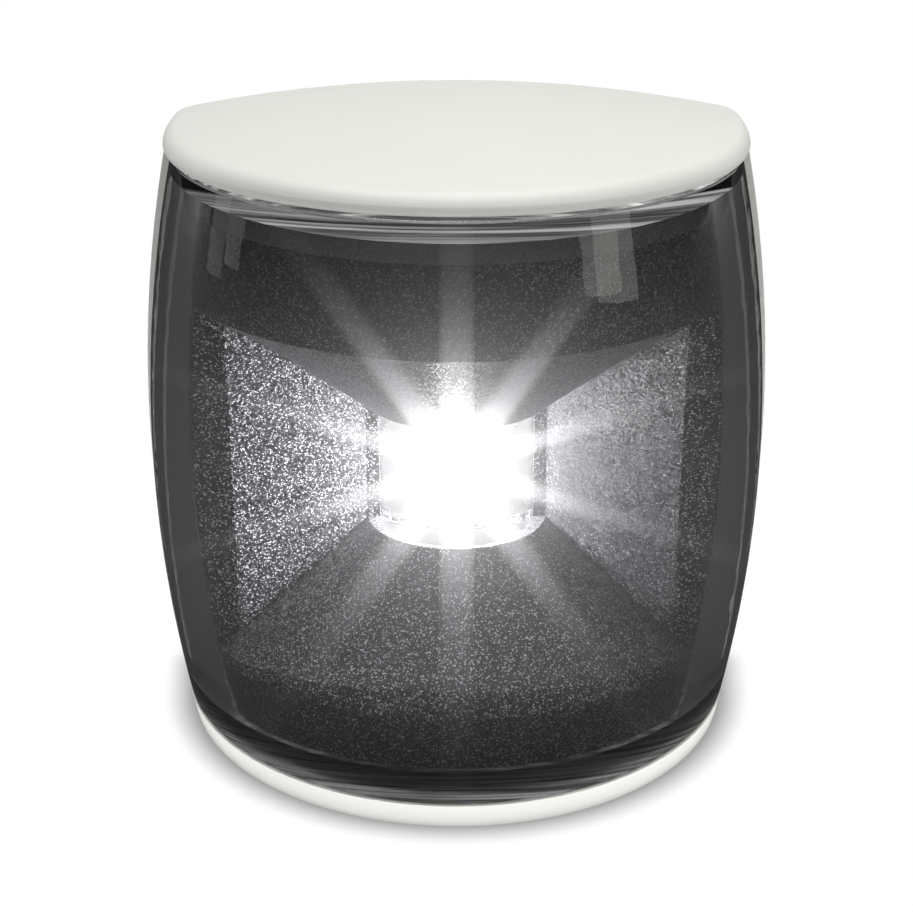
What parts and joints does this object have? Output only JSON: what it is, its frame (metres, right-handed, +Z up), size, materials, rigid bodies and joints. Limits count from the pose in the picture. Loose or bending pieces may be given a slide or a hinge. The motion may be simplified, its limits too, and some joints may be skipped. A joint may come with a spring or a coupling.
{
  "type": "navigation light",
  "caption": "Compact sealed stern navigation light: white D-shaped housing and lift-off cap, clear barrel lens over a black sector horn and LED, hung on a bulkhead dovetail plate.",
  "frame": {"origin": "middle of the two bulkhead screw holes, on the mounting face", "axes": "+Y into the bulkhead (the lamp shines towards -Y), +Z up, +X to the right seen from the front"},
  "size_m": [0.0792, 0.0466, 0.0797],
  "materials": {
    "white_plastic": "satin moulded white, UV-stable",
    "clear_lens": "clear moulded acrylic, polished",
    "clear_optic": "clear moulded silicone or acrylic, polished",
    "black_textured": "black moulded plastic with a fine spark texture",
    "plate_plastic": "glass-filled nylon, dark grey",
    "seal_rubber": "black rubber",
    "foam_rubber": "closed-cell foam rubber",
    "thermal_grey": "soft grey thermal pad",
    "spreader_aluminium": "plain aluminium sheet",
    "led_board_white": "white solder mask on an aluminium core",
    "led_ceramic": "white ceramic package",
    "led_silicone": "clear silicone over phosphor",
    "circuit_board": "green solder mask",
    "component_black": "moulded black component body",
    "component_tan": "tan ceramic chip",
    "stainless": "A4 stainless steel",
    "brass_pin": "tinned brass",
    "spacer_nylon": "natural nylon"
  },
  "bodies": {
    "plate": {"mounting_plate": "plate_plastic"},
    "lamp": {"wall_gasket": "foam_rubber", "housing": "white_plastic", "lens": "clear_lens", "lens_seal": "seal_rubber", "sector_baffle": "black_textured", "led_optic": "clear_optic", "led_package": "led_ceramic", "led_dome": "led_silicone", "led_board": "led_board_white", "led_screws": "stainless", "thermal_pad": "thermal_grey", "heat_spreader": "spreader_aluminium", "led_pins": "brass_pin", "driver_board": "circuit_board", "driver_inductor": "component_black", "driver_capacitors": "component_tan", "driver_controller": "component_black", "driver_diodes": "component_black", "driver_resistors": "component_black", "board_spacers": "spacer_nylon", "board_screws": "stainless", "case_screws": "stainless", "cable_gland": "seal_rubber", "gland_clamp": "plate_plastic"},
    "cap": {"top_cap": "white_plastic"}
  },
  "joints": [
    {"name": "lamp_lift", "type": "slide", "parent": "plate", "child": "lamp", "axis": [0, 0, 1], "range_m": [0, 0.063]},
    {"name": "cap_lift", "type": "slide", "parent": "lamp", "child": "cap", "axis": [0, 0, 1], "range_m": [0, 0.012]}
  ]
}
